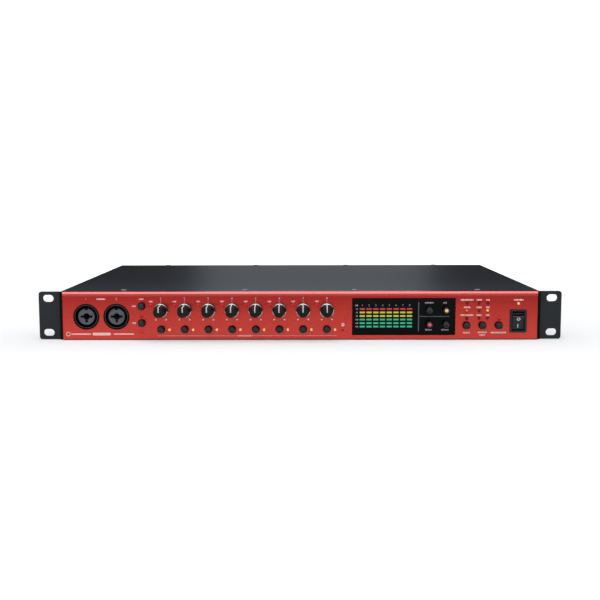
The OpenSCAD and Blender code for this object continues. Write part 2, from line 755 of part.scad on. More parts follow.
// Inlet with a flange outside the panel and three pins set back in its cavity
module mains_inlet() color("#141518") translate([inlet_at[0], 0, inlet_at[1]]) {
  half_w = inlet_cavity_w / 2;
  half_h = inlet_cavity_h / 2;
  difference() {
    union() {
      slab(rear_y, rear_y + inlet_flange_t) round_rect(inlet_flange_w, inlet_h + 2.4, 3);
      slab(rear_y - inlet_depth, rear_y + eps) square([inlet_w, inlet_h], center = true);
    }
    slab(rear_y - inlet_cavity_depth, rear_y + inlet_flange_t + 1) polygon([
      [-half_w, -half_h], [half_w, -half_h], [half_w, half_h - inlet_cavity_bevel],
      [half_w - inlet_cavity_bevel, half_h], [-half_w + inlet_cavity_bevel, half_h],
      [-half_w, half_h - inlet_cavity_bevel]]);
    for (s = [-1, 1])
      rod([s * inlet_screw_span / 2, 0], rear_y - 1, rear_y + inlet_flange_t + 1, screw_clear_d, $fn = 24);
  }
  for (at = inlet_pin_at) slab(rear_y - inlet_depth - inlet_tag_len, rear_y - inlet_pin_recess)
    rect_at(at, inlet_pin[0], inlet_pin[1]);
}

// Flange, D-shaped body with its contact holes, and the two hexagonal posts
module dsub_connectors() color("#a9adb2") for (x = dsub_x) translate([x, 0, dsub_z]) {
  slab(rear_y, rear_y + 1) difference() {
    round_rect(dsub_flange_w, dsub_flange_h, 1.5);
    for (s = [-1, 1]) translate([s * dsub_hole_span / 2, 0]) circle(d = screw_d, $fn = 24);
  }
  slab(rear_y - dsub_depth, rear_y + dsub_proud) difference() {
    d_shape(dsub_w, dsub_h, dsub_slope);
    for (i = [0 : 12]) translate([(i - 6) * dsub_pitch, dsub_row_z]) circle(d = dsub_pin_d, $fn = 16);
    for (i = [0 : 11]) translate([(i - 5.5) * dsub_pitch, -dsub_row_z]) circle(d = dsub_pin_d, $fn = 16);
  }
  for (s = [-1, 1]) difference() {
    translate([s * dsub_hole_span / 2, rear_y + jack_post_y[0], 0]) rotate([-90, 0, 0])
      cylinder(h = jack_post_y[1] - jack_post_y[0], d = jack_post_af / cos(30), $fn = 6);
    slab(rear_y + jack_post_y[0] - 1, rear_y + 1) translate([s * dsub_hole_span / 2, 0]) difference() {
      circle(d = 2 * jack_post_af);
      circle(d = screw_d - 0.1, $fn = 24);
    }
  }
}

module optical_ports() color("#101114") for (at = optical_at) difference() {
  slab(rear_y - optical_depth, rear_y + optical_proud) rect_at(at, optical_w - 0.1, optical_w - 0.1);
  slab(rear_y - optical_hole_depth, rear_y + optical_proud + 1) rect_at(at, optical_hole_w, optical_hole_w);
}

// Coaxial sockets with a hexagonal nut and two bayonet lugs
module bnc_sockets() color("#c8cbd0") for (at = bnc_at) difference() {
  union() {
    rod(at, rear_y - bnc_depth, rear_y + bnc_len, bnc_d);
    rod(at, rear_y, rear_y + 2, bnc_nut_af / cos(30), $fn = 6);
    for (s = [-1, 1]) translate([at[0] + s * bnc_d / 2, rear_y + bnc_len - 2.5, at[1]]) rotate([0, 90, 0])
      cylinder(h = 1.8, d = bnc_lug_d, center = true, $fn = 24);
  }
  difference() {
    rod(at, rear_y + 2.5, rear_y + bnc_len + 1, bnc_d - 2 * bnc_wall);
    rod(at, rear_y + 2, rear_y + bnc_len - 1.5, bnc_core_d);
  }
}

module board_standoffs() color("#b9bcc0") for (at = concat(main_screw_at, supply_screw_at)) difference() {
  translate([at[0], at[1], floor_z]) cylinder(h = standoff_h, d = 6, $fn = 6);
  translate([at[0], at[1], floor_z - 1]) cylinder(h = standoff_h + 2, d = screw_d, $fn = 24);
}

module ribbon_cables() color("#9a9da2") for (x = ribbon_x) {
  low_x = x - ribbon_w / 2;
  high_x = x + ribbon_w / 2;
  plug_y = board_y + board_t;
  box([low_x, plug_y, -13], [high_x, plug_y + 3, -9]);
  box([low_x, plug_y + 3, -11.6], [high_x, ribbon_bend_y, -10.6]);
  box([low_x, ribbon_bend_y - 1, parts_z], [high_x, ribbon_bend_y, -11.6]);
}

module m3_screws() color("#9da1a6") {
  for (x = cover_screw_x) translate([x, cover_front_screw_y, cover_top_z]) screw();
  for (x = cover_rear_screw_x) translate([x, cover_rear_screw_y, cover_top_z]) screw();
  for (x = cover_screw_x, y = [cover_front_screw_y, cover_rear_screw_y])
    translate([x, y, base_z + flat_head_gap]) flat_screw();
  for (s = [-1, 1], y = flange_screw_y, z = flange_screw_z)
    translate([s * (ear_in_x + flange_t), y, z]) rotate([0, s * 90, 0]) screw();
  for (x = rear_jack_x, s = [-1, 1]) translate([x - s * jack_screw_x, rear_y, jack_z + s * jack_screw_z])
    rotate([-90, 0, 0]) screw();
  for (s = [-1, 1]) translate([inlet_at[0] + s * inlet_screw_span / 2, rear_y + inlet_flange_t, inlet_at[1]])
    rotate([-90, 0, 0]) screw();
  for (at = concat(main_screw_at, supply_screw_at)) translate([at[0], at[1], parts_z]) screw();
}

base_tray();
top_cover();
front_fascia();
front_subpanel();
rack_ear_left();
rack_ear_right();
rear_panel();
meter_window();
meter_bars_red();
meter_bars_yellow();
meter_bars_green();
gain_knob_1();
gain_knob_2();
gain_knob_3();
gain_knob_4();
gain_knob_5();
gain_knob_6();
gain_knob_7();
gain_knob_8();
channel_button_1();
channel_button_2();
channel_button_3();
channel_button_4();
channel_button_5();
channel_button_6();
channel_button_7();
channel_button_8();
phantom_button_1();
phantom_button_2();
window_button_1();
window_button_2();
window_button_3();
window_button_4();
clock_button_1();
clock_button_2();
clock_button_3();
power_rocker();
power_switch_body();
combo_shells();
combo_cores();
combo_contacts();
lit_lamps();
peak_lamps();
status_lamps();
mounting_rails();
gain_pots();
pot_nuts();
tact_switches();
front_board();
main_board();
board_components();
power_supply_board();
mains_transformer();
mains_inlet();
dsub_connectors();
optical_ports();
bnc_sockets();
m3_screws();
board_standoffs();
ribbon_cables();
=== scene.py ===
"""The looks of a one-unit rack audio interface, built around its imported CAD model.

Lengths are in metres, in the CAD's frame.
"""

import json
import math

import bmesh
import bpy
from mathutils import Matrix, Vector
from mathutils.bvhtree import BVHTree


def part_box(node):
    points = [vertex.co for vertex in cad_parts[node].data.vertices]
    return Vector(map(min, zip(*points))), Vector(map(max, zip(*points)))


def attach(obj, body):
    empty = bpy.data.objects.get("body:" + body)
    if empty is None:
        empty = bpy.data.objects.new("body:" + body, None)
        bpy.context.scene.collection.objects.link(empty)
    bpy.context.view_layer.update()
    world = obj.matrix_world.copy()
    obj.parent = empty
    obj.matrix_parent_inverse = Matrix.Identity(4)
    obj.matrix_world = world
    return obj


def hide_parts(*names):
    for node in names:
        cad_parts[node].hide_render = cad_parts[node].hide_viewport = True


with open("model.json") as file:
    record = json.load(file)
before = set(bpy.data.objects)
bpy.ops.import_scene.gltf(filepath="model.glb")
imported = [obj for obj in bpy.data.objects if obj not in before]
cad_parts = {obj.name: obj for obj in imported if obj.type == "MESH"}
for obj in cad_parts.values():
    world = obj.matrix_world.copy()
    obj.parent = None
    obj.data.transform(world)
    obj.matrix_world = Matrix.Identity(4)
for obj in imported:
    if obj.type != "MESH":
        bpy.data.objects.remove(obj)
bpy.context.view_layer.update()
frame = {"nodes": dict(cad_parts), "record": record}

MM = 0.001
NODES = frame["nodes"]
BODY_OF = {n: b for b, names in frame["record"]["behaviour"]["bodies"].items() for n in names}
CHASSIS = "chassis"
FASCIA_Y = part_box("front_fascia")[0].y
WINDOW_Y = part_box("meter_window")[0].y
REAR_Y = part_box("rear_panel")[1].y
FLOOR_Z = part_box("base_tray")[0].z


# Materials

def srgb(r, g, b):
    """A colour given as it looks on screen, 0 to 255, in Blender's linear values."""
    return tuple(((c / 255 + 0.055) / 1.055) ** 2.4 if c > 10 else c / 255 / 12.92 for c in (r, g, b))


def grey(value):
    return (value, value, value)


def shade(color, factor):
    """The colour made lighter or darker."""
    return tuple(min(1.0, c * factor) for c in color)


def start_material(name, **sockets):
    """A Principled material with constant sockets, named as keywords such as Coat_Weight."""
    material = bpy.data.materials.new(name)
    material.use_nodes = True
    shader = material.node_tree.nodes["Principled BSDF"]
    for key, value in sockets.items():
        shader.inputs[key.replace("_", " ")].default_value = value
    return material, material.node_tree, shader


def noise(tree, scale, stretch=(1, 1, 1), detail=3):
    """Noise over the object's own coordinates, in features per metre."""
    place = tree.nodes.new("ShaderNodeTexCoord")
    mapping = tree.nodes.new("ShaderNodeMapping")
    mapping.inputs["Scale"].default_value = stretch
    texture = tree.nodes.new("ShaderNodeTexNoise")
    texture.inputs["Scale"].default_value = scale
    texture.inputs["Detail"].default_value = detail
    tree.links.new(place.outputs["Object"], mapping.inputs["Vector"])
    tree.links.new(mapping.outputs["Vector"], texture.inputs["Vector"])
    return texture.outputs["Fac"]


def ramp(tree, source, stops):
    """A colour ramp from [(position, colour), ...]."""
    node = tree.nodes.new("ShaderNodeValToRGB")
    elements = node.color_ramp.elements
    while len(elements) < len(stops):
        elements.new(0.5)
    for element, (position, color) in zip(elements, stops):
        element.position = position
        element.color = (*color, 1)
    tree.links.new(source, node.inputs["Fac"])
    return node.outputs["Color"]


def spread(tree, source, low, high):
    """The source's middle range mapped to low..high."""
    node = tree.nodes.new("ShaderNodeMapRange")
    node.inputs["From Min"].default_value = 0.3
    node.inputs["From Max"].default_value = 0.7
    node.inputs["To Min"].default_value = low
    node.inputs["To Max"].default_value = high
    tree.links.new(source, node.inputs["Value"])
    return node.outputs["Result"]


def bump(tree, shader, source, strength, distance):
    """A relief of the source's pattern, distance deep at full strength."""
    node = tree.nodes.new("ShaderNodeBump")
    node.inputs["Strength"].default_value = strength
    node.inputs["Distance"].default_value = distance
    tree.links.new(source, node.inputs["Height"])
    tree.links.new(node.outputs["Normal"], shader.inputs["Normal"])


def surface(name, color, rough, grain=900, relief=0.2, depth=0.05 * MM, vary=0.12, blotch=25,
            stretch=(1, 1, 1), rough_vary=0.05, **sockets):
    """Colour that varies a little over blotches, roughness that varies with the grain, and a fine relief."""
    material, tree, shader = start_material(name, **sockets)
    large = noise(tree, blotch)
    fine = noise(tree, grain, stretch)
    tree.links.new(ramp(tree, large, [(0.3, shade(color, 1 - vary)), (0.7, shade(color, 1 + vary))]),
                   shader.inputs["Base Color"])
    tree.links.new(spread(tree, fine, rough - rough_vary, rough + rough_vary), shader.inputs["Roughness"])
    bump(tree, shader, fine, relief, depth)
    return material


def glow(name, color, power, core=None, rough=0.25, body=0.7):
    """A lit lens: its own colour glows, a little unevenly, over a body of a share of that colour."""
    material, tree, shader = start_material(name, Roughness=rough, Emission_Strength=power)
    patches = noise(tree, 700)
    tree.links.new(ramp(tree, patches, [(0.3, shade(color, 0.9)), (0.7, core or color)]),
                   shader.inputs["Emission Color"])
    tree.links.new(ramp(tree, patches, [(0.3, shade(color, body * 0.85)), (0.7, shade(color, body))]),
                   shader.inputs["Base Color"])
    return material


def sheet_front_fade(name):
    """Black powder coat with a painted sheen: a little lighter towards the cover's front edge."""
    material, tree, shader = start_material(name, Specular_IOR_Level=0.15)
    low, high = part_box("top_cover")
    place = tree.nodes.new("ShaderNodeTexCoord")
    split = tree.nodes.new("ShaderNodeSeparateXYZ")
    depth = tree.nodes.new("ShaderNodeMapRange")
    depth.inputs["From Min"].default_value = low.y
    depth.inputs["From Max"].default_value = high.y
    tree.links.new(place.outputs["Object"], split.inputs["Vector"])
    tree.links.new(split.outputs["Y"], depth.inputs["Value"])
    # painted sheen: the coat runs from lighter at the front edge to darkest at the rear
    tree.links.new(ramp(tree, depth.outputs["Result"], [(0.0, srgb(34, 38, 44)), (0.35, srgb(15, 17, 21)),
                                                        (1.0, srgb(5, 6, 8))]), shader.inputs["Base Color"])
    grain = noise(tree, 2600)
    tree.links.new(spread(tree, grain, 0.33, 0.41), shader.inputs["Roughness"])
    bump(tree, shader, grain, 0.3, 0.05 * MM)
    return material


def anodised_plate(name):
    """Red anodised aluminium, brushed along X, with painted shade: a dark painted shadow line at its foot,
    lighter low down and darker towards its top edge, and a painted highlight on that edge.
    """
    material, tree, shader = start_material(name, Metallic=0.9, Coat_Weight=0.12, Coat_Roughness=0.2)
    low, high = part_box("front_fascia")
    place = tree.nodes.new("ShaderNodeTexCoord")
    split = tree.nodes.new("ShaderNodeSeparateXYZ")
    height = tree.nodes.new("ShaderNodeMapRange")
    height.inputs["From Min"].default_value = low.z
    height.inputs["From Max"].default_value = high.z
    tree.links.new(place.outputs["Object"], split.inputs["Vector"])
    tree.links.new(split.outputs["Z"], height.inputs["Value"])
    # painted shade and light over the height: a shadow line at the foot, lighter low down, darker towards the
    # top, and a painted highlight on the top chamfer
    base = ramp(tree, height.outputs["Result"],
                [(0.016, srgb(84, 24, 21)), (0.022, srgb(212, 70, 62)), (0.5, srgb(190, 56, 48)),
                 (0.9, srgb(164, 36, 32)), (0.96, srgb(190, 84, 80))])
    brushing = noise(tree, 1500, (0.05, 1, 3))
    tint = ramp(tree, noise(tree, 12), [(0.3, grey(0.95)), (0.7, grey(1))])
    blend = tree.nodes.new("ShaderNodeMix")
    blend.data_type = "RGBA"
    blend.blend_type = "MULTIPLY"
    blend.inputs["Factor"].default_value = 1
    tree.links.new(base, blend.inputs[6])
    tree.links.new(tint, blend.inputs[7])
    tree.links.new(blend.outputs[2], shader.inputs["Base Color"])
    tree.links.new(spread(tree, brushing, 0.25, 0.31), shader.inputs["Roughness"])
    bump(tree, shader, brushing, 0.1, 0.02 * MM)
    return material


def circuit_board(name):
    """Green solder mask over traces, which show as slightly lighter squares and lines."""
    material, tree, shader = start_material(name, Roughness=0.35, Coat_Weight=0.3)
    place = tree.nodes.new("ShaderNodeTexCoord")
    brick = tree.nodes.new("ShaderNodeTexBrick")
    brick.inputs["Scale"].default_value = 180
    brick.inputs["Mortar Size"].default_value = 0.035
    brick.inputs["Color1"].default_value = (*srgb(22, 84, 48), 1)
    brick.inputs["Color2"].default_value = (*srgb(26, 96, 54), 1)
    brick.inputs["Mortar"].default_value = (*srgb(60, 130, 70), 1)
    tree.links.new(place.outputs["Object"], brick.inputs["Vector"])
    tree.links.new(brick.outputs["Color"], shader.inputs["Base Color"])
    bump(tree, shader, brick.outputs["Fac"], 0.2, 0.03 * MM)
    return material


STEEL = surface("powder_coat_black", srgb(20, 22, 26), 0.4, grain=2600, relief=0.35, depth=0.06 * MM,
                vary=0.08, Specular_IOR_Level=0.3)
COVER_PAINTED_SHEEN = sheet_front_fade("powder_coat_cover_painted_sheen")
SUBPANEL = surface("subpanel_black", srgb(8, 8, 9), 0.6, grain=2600, relief=0.3, depth=0.06 * MM, vary=0.1,
                   Specular_IOR_Level=0.1)
EAR = surface("powder_coat_ears", srgb(38, 41, 44), 0.5, grain=2600, relief=0.4, depth=0.06 * MM, vary=0.08,
              Specular_IOR_Level=0.2)
RED_PAINTED_SHADE = anodised_plate("anodised_red_painted_shade")
INK = surface("white_ink", srgb(240, 205, 200), 0.6, vary=0.06, blotch=400)
PALE_INK = surface("pale_ink", srgb(226, 168, 164), 0.6, vary=0.06, blotch=400)
WINDOW = surface("window_black", srgb(6, 7, 8), 0.1, grain=60, relief=0.02, vary=0.2, rough_vary=0.02,
                 Specular_IOR_Level=0.06)
WINDOW_INK = surface("window_ink", srgb(150, 152, 156), 0.6, vary=0.06, blotch=400)
WINDOW_LINE = surface("window_line", srgb(84, 86, 90), 0.5, vary=0.06, blotch=400)
KNOB = surface("knob_black", srgb(14, 15, 16), 0.4, grain=3000, relief=0.15, vary=0.1, blotch=150,
               Specular_IOR_Level=0.2)
RIM = surface("knob_rim", srgb(186, 186, 187), 0.22, grain=1500, relief=0.05, vary=0.05, Metallic=1.0)
POINTER = surface("pointer_white", srgb(205, 204, 202), 0.5, vary=0.04, blotch=300, Specular_IOR_Level=0.2)
BUTTON = surface("button_grey", srgb(26, 34, 38), 0.3, grain=3000, relief=0.1, vary=0.1, blotch=200,
                 Specular_IOR_Level=0.35)
WINDOW_BUTTON = surface("window_button_black", srgb(18, 18, 20), 0.25, grain=3000, relief=0.1, vary=0.1,
                        blotch=200, Specular_IOR_Level=0.5)
ROCKER = surface("rocker_black", srgb(22, 25, 27), 0.32, grain=2200, relief=0.15, vary=0.1, blotch=120,
                 Specular_IOR_Level=0.3)
BEZEL = surface("bezel_black", srgb(26, 28, 30), 0.35, grain=2200, relief=0.15, vary=0.1, blotch=120,
                Specular_IOR_Level=0.35)
PAINTED_SHADE = surface("matt_black_painted_shade", srgb(5, 5, 6), 0.8, grain=2200, vary=0.1, blotch=300, Specular_IOR_Level=0.05)
JACK = surface("jack_black", srgb(8, 9, 10), 0.45, grain=2500, relief=0.2, vary=0.15, blotch=90,
               Specular_IOR_Level=0.07)
JACK_RING_PAINTED_HIGHLIGHT = surface("jack_ring_painted_highlight", srgb(58, 60, 64), 0.35, grain=2500, vary=0.1, blotch=200,
                    Specular_IOR_Level=0.3)
JACK_GREY = surface("jack_grey", srgb(90, 92, 97), 0.42, grain=2500, relief=0.2, vary=0.1, blotch=120,
                    Specular_IOR_Level=0.2)
BRASS = surface("contact_metal", srgb(205, 178, 110), 0.28, grain=1500, vary=0.1, Metallic=1.0)
NICKEL = surface("nickel", srgb(190, 192, 196), 0.24, grain=1200, relief=0.1, vary=0.06, Metallic=1.0)
ZINC = surface("screw_zinc", srgb(150, 152, 156), 0.35, grain=1500, relief=0.2, vary=0.12, Metallic=0.4)
AMBER = glow("amber_lit", srgb(255, 176, 96), 0.95, srgb(255, 214, 150), body=0.3)
RED_LIT = glow("red_lit", srgb(232, 70, 88), 0.68, srgb(240, 100, 120), body=0.3)
ORANGE_LIT = glow("orange_lit", srgb(255, 90, 50), 0.9, srgb(255, 130, 80), body=0.3)
YELLOW_LIT = glow("yellow_lit", srgb(238, 186, 104), 0.75, srgb(255, 215, 150), body=0.3)
GREEN_LIT = glow("yellow_green_lit", srgb(216, 190, 60), 0.8, srgb(240, 222, 110), body=0.3)
PEAK = glow("peak_lens", srgb(222, 32, 24), 0.75, body=0.4)
LENS_DARK = surface("lens_dark", srgb(122, 26, 22), 0.3, vary=0.15, blotch=600, Specular_IOR_Level=0.2)
BAR_RED = glow("bar_red", srgb(206, 44, 50), 0.75, body=0.1)
BAR_YELLOW = glow("bar_yellow", srgb(208, 198, 56), 0.8, body=0.1)
BAR_GREEN = glow("bar_green", srgb(40, 190, 140), 0.75, body=0.1)
BOARD = circuit_board("circuit_board")
PARTS = surface("component_black", srgb(34, 35, 38), 0.45, grain=2000, vary=0.15, blotch=200)
WINDING = surface("copper_winding", srgb(150, 92, 40), 0.35, grain=1500, stretch=(1, 0.05, 1), relief=0.6,
                  vary=0.2, Metallic=0.6)
RIBBON = surface("ribbon_grey", srgb(150, 152, 156), 0.5, grain=1200, stretch=(1, 0.02, 0.02), relief=0.6,
                 vary=0.1)

NODE_MATERIAL = {
    "combo_contacts": BRASS, "gain_pots": PARTS, "pot_nuts": NICKEL, "tact_switches": PARTS,
    "front_board": BOARD, "main_board": BOARD, "board_components": PARTS, "power_supply_board": BOARD,
    "mains_transformer": WINDING, "board_standoffs": NICKEL, "ribbon_cables": RIBBON,
    "mounting_rails": NICKEL,
}


def paint(node, material):
    """Give a CAD node its finished material."""
    slots = NODES[node].data.materials
    slots.clear()
    slots.append(material)


for cad_name, cad_material in NODE_MATERIAL.items():
    paint(cad_name, cad_material)


# Mesh helpers

WELD = 1e-6        # corners closer than this are one
SHARP_ANGLE = 35   # degrees between faces whose edge stays sharp
TYPE_SIZE = 1.4    # font size over the height of its numerals


def piece(name, bm, material, body=CHASSIS, replaced=()):
    """A new object on its body from a bmesh, which is freed, shaded smooth except at sharp edges."""
    bmesh.ops.recalc_face_normals(bm, faces=bm.faces)
    mesh = bpy.data.meshes.new(name)
    bm.to_mesh(mesh)
    bm.free()
    obj = bpy.data.objects.new(name, mesh)
    bpy.context.scene.collection.objects.link(obj)
    mesh.materials.append(material)
    mesh.polygons.foreach_set("use_smooth", [True] * len(mesh.polygons))
    mesh.set_sharp_from_angle(angle=math.radians(SHARP_ANGLE))
    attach(obj, body)
    if replaced:
        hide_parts(*replaced)


def apply_modifiers(obj):
    """Replace the object's mesh by what its modifiers make of it."""
    graph = bpy.context.evaluated_depsgraph_get()
    mesh = bpy.data.meshes.new_from_object(obj.evaluated_get(graph))
    obj.modifiers.clear()
    obj.data = mesh


def refine(node, material, width, segments=2, merge=True):
    """The CAD node's own shape with its edges rounded by width, which takes the node's place."""
    bm = bmesh.new()
    bm.from_mesh(NODES[node].data)
    bmesh.ops.remove_doubles(bm, verts=bm.verts, dist=WELD)
    if merge:
        bmesh.ops.dissolve_limit(bm, angle_limit=math.radians(0.5), verts=bm.verts, edges=bm.edges)
    mesh = bpy.data.meshes.new(node + "_finished")
    bm.to_mesh(mesh)
    bm.free()
    obj = bpy.data.objects.new(mesh.name, mesh)
    bpy.context.scene.collection.objects.link(obj)
    round_edges = obj.modifiers.new("round", "BEVEL")
    round_edges.width = width
    round_edges.segments = segments
    round_edges.limit_method = "ANGLE"
    round_edges.angle_limit = math.radians(40)
    round_edges.use_clamp_overlap = False
    obj.modifiers.new("shade", "WEIGHTED_NORMAL").keep_sharp = True
    obj.data.polygons.foreach_set("use_smooth", [True] * len(obj.data.polygons))
    apply_modifiers(obj)
    obj.data.materials.clear()
    obj.data.materials.append(material)
    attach(obj, BODY_OF[node])
    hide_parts(node)


def lathe(bm, center, profile, steps=48):
    """Turn a profile of (radius, y) about the Y axis through center = (x, z). A radius of 0 closes it."""
    rings = []
    for radius, y in profile:
        if radius == 0:
            rings.append([bm.verts.new((center[0], y, center[1]))])
            continue
        turn = [2 * math.pi * i / steps for i in range(steps)]
        rings.append([bm.verts.new((center[0] + radius * math.cos(a), y, center[1] + radius * math.sin(a)))
                      for a in turn])
    for a, b in zip(rings, rings[1:]):
        for i in range(steps):
            j = (i + 1) % steps
            corners = [a[i % len(a)], a[j % len(a)], b[j % len(b)], b[i % len(b)]]
            unique = list(dict.fromkeys(corners))
            if len(unique) > 2:
                bm.faces.new(unique)
    if len(rings[0]) > 1 and len(rings[-1]) > 1:
        for i in range(steps):
            j = (i + 1) % steps
            bm.faces.new([rings[-1][i], rings[-1][j], rings[0][j], rings[0][i]])


def arc(cx, cy, radius, start, end, steps):
    """Points on an arc, angles in degrees."""
    angles = [math.radians(start + (end - start) * i / steps) for i in range(steps + 1)]
    return [(cx + radius * math.cos(a), cy + radius * math.sin(a)) for a in angles]


def round_corners(w, h, r, steps=4):
    """Outline of a rectangle with round corners about the origin."""
    points = []
    for sx, sz, start in ((1, 1, 0), (-1, 1, 90), (-1, -1, 180), (1, -1, 270)):
        points += arc(sx * (w / 2 - r), sz * (h / 2 - r), r, start, start + 90, steps)
    return points


def prism(bm, outline, center, y_front, y_back):
    """A flat shape in X and Z, from y_front back to y_back."""
    front = [bm.verts.new((center[0] + x, y_front, center[1] + z)) for x, z in outline]
    back = [bm.verts.new((center[0] + x, y_back, center[1] + z)) for x, z in outline]
    bm.faces.new(front)
    bm.faces.new(back[::-1])
    for i in range(len(outline)):
        j = (i + 1) % len(outline)
        bm.faces.new([front[j], front[i], back[i], back[j]])


def digits(bm, text, center, height, y_front, y_back, turn=0):
    """Generic numerals of a given height, centred on (x, z) and turned about Z, in degrees."""
    curve = bpy.data.curves.new("numeral", "FONT")
    curve.body = text
    curve.size = height * TYPE_SIZE
    curve.align_x = "CENTER"
    curve.align_y = "CENTER"
    curve.extrude = (y_back - y_front) / 2
    curve.resolution_u = 3
    obj = bpy.data.objects.new("numeral", curve)
    bpy.context.scene.collection.objects.link(obj)
    graph = bpy.context.evaluated_depsgraph_get()
    mesh = bpy.data.meshes.new_from_object(obj.evaluated_get(graph))
    mesh.transform(Matrix.Translation((center[0], (y_front + y_back) / 2, center[1]))
                   @ Matrix.Rotation(math.radians(turn), 4, "Z") @ Matrix.Rotation(math.pi / 2, 4, "X"))
    bm.from_mesh(mesh)
    bpy.data.objects.remove(obj)
    bpy.data.curves.remove(curve)
    bpy.data.meshes.remove(mesh)


def center_of(node):
    """Middle of a node in X and Z."""
    low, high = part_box(node)
    return ((low.x + high.x) / 2, (low.z + high.z) / 2)


def solids_of(node):
    """The lowest and highest corners of the separate solids of a CAD node, from left to right."""
    bm = bmesh.new()
    bm.from_mesh(NODES[node].data)
    bmesh.ops.remove_doubles(bm, verts=bm.verts, dist=WELD)
    left = set(bm.verts)
    boxes = []
    while left:
        stack = [left.pop()]
        group = []
        while stack:
            vert = stack.pop()
            group.append(vert.co)
            for edge in vert.link_edges:
                other = edge.other_vert(vert)
                if other in left:
                    left.remove(other)
                    stack.append(other)
        boxes.append((Vector([min(c[k] for c in group) for k in range(3)]),
                      Vector([max(c[k] for c in group) for k in range(3)])))
    bm.free()
    return sorted(boxes, key=lambda box: (round(box[0].x, 5), box[0].z))


def middle(box):
    """Middle of a solid's box in X and Z."""
    low, high = box
    return ((low.x + high.x) / 2, (low.z + high.z) / 2)


# Case

refine("base_tray", STEEL, 0.25 * MM)
refine("top_cover", COVER_PAINTED_SHEEN, 0.3 * MM)
refine("front_fascia", RED_PAINTED_SHADE, 0.15 * MM, merge=False)
refine("front_subpanel", SUBPANEL, 0.25 * MM)
refine("rack_ear_left", EAR, 0.35 * MM)
refine("rack_ear_right", EAR, 0.35 * MM)
refine("rear_panel", STEEL, 0.15 * MM)
refine("m3_screws", ZINC, 0.12 * MM)
refine("meter_window", WINDOW, 0.12 * MM)
refine("combo_shells", JACK, 0.35 * MM)
refine("combo_cores", JACK_GREY, 0.2 * MM)
refine("mains_inlet", JACK, 0.3 * MM)
refine("dsub_connectors", NICKEL, 0.15 * MM)
refine("optical_ports", JACK, 0.2 * MM)
refine("bnc_sockets", NICKEL, 0.2 * MM)
refine("power_switch_body", BEZEL, 0.5 * MM, segments=3)
refine("power_rocker", ROCKER, 0.5 * MM, segments=3)


# Rings on the combo sockets

CORE_LIP = (7.5 * MM, 8.25 * MM)
SHELL_RING = (10.2 * MM, 10.65 * MM)
RING_SUNK = 0.1 * MM
RING_BEVEL = 0.1 * MM
RING_SHOULDER = 0.6    # height of a ring's sides over its full height


def add_jack_rings(name, node, radii, proud, material):
    """A raised ring on the outer face of each solid of a node, front or rear."""
    inner, outer = radii
    bm = bmesh.new()
    for low, high in solids_of(node):
        out, face = (-1, low.y) if low.y < 0 else (1, high.y)
        root = face - out * RING_SUNK
        shoulder = face + out * proud * RING_SHOULDER
        top = face + out * proud
        lathe(bm, middle((low, high)), [(inner, root), (inner, shoulder), (inner + RING_BEVEL, top),
                                        (outer - RING_BEVEL, top), (outer, shoulder), (outer, root)])
    piece(name, bm, material)


add_jack_rings("combo_core_lips", "combo_cores", CORE_LIP, 0.5 * MM, JACK)
# painted highlight: a lighter grey ring on each shell stands in for the light caught by the shell's edge
add_jack_rings("combo_shell_rings", "combo_shells", SHELL_RING, 0.06 * MM, JACK_RING_PAINTED_HIGHLIGHT)


# Marks on the power rocker, and painted shade on its upper end

def add_mark(node, name, outline, at, material, thick=0.05 * MM, hole=None):
    """A flat mark laid on a node's front surface where a line along Y through at = (x, z) meets it."""
    tree = BVHTree.FromPolygons([v.co for v in NODES[node].data.vertices],
                                [p.vertices for p in NODES[node].data.polygons])
    spot, normal = tree.ray_cast(Vector((at[0], -0.1, at[1])), Vector((0, 1, 0)))[:2]
    bm = bmesh.new()
    if hole:
        lathe(bm, (0, 0), [(hole, -thick), (outline, -thick), (outline, thick), (hole, thick)], steps=32)
    else:
        prism(bm, outline, (0, 0), -thick, thick)
    turn = Vector((0, -1, 0)).rotation_difference(normal).to_matrix().to_4x4()
    bm.transform(Matrix.Translation(spot) @ turn)
    piece(name, bm, material, BODY_OF[node])


SWITCH_AT = center_of("power_switch_body")
ROCKER_W = 10.2 * MM
# painted shade: a thin matt black sheet over the rocker's upper end stands in for the shade there
add_mark("power_rocker", "rocker_shaded_end", round_corners(ROCKER_W, 2.2 * MM, 0.4 * MM),
         (SWITCH_AT[0], SWITCH_AT[1] + 5.8 * MM), PAINTED_SHADE, 0.02 * MM)
add_mark("power_rocker", "rocker_ridge", round_corners(ROCKER_W, 0.45 * MM, 0.2 * MM),
         (SWITCH_AT[0], SWITCH_AT[1] + 4.4 * MM), WINDOW_LINE, 0.15 * MM)
add_mark("power_rocker", "rocker_off_ring", 1.65 * MM, (SWITCH_AT[0] + 0.1 * MM, SWITCH_AT[1] + 1.8 * MM),
         POINTER, hole=0.9 * MM)
add_mark("power_rocker", "rocker_on_bar", round_corners(0.75 * MM, 3.3 * MM, 0.2 * MM),
         (SWITCH_AT[0] - 0.3 * MM, SWITCH_AT[1] - 4.5 * MM), POINTER)


# Gain knobs

SKIRT_R = 6.5 * MM
SKIRT_H = 2.0 * MM
RING_R = 6.15 * MM
RING_W = 0.6 * MM
FACE_R = 4.8 * MM
NECK_R = 5.3 * MM
CROWN_R = 0.7 * MM
SHAFT_R = 2.95 * MM
SHAFT_IN = 4 * MM
KNOB_GAP = 0.6 * MM
POINTER_W = 0.95 * MM
POINTER_LIFT = 0.06 * MM
POINTER_T = 0.3 * MM


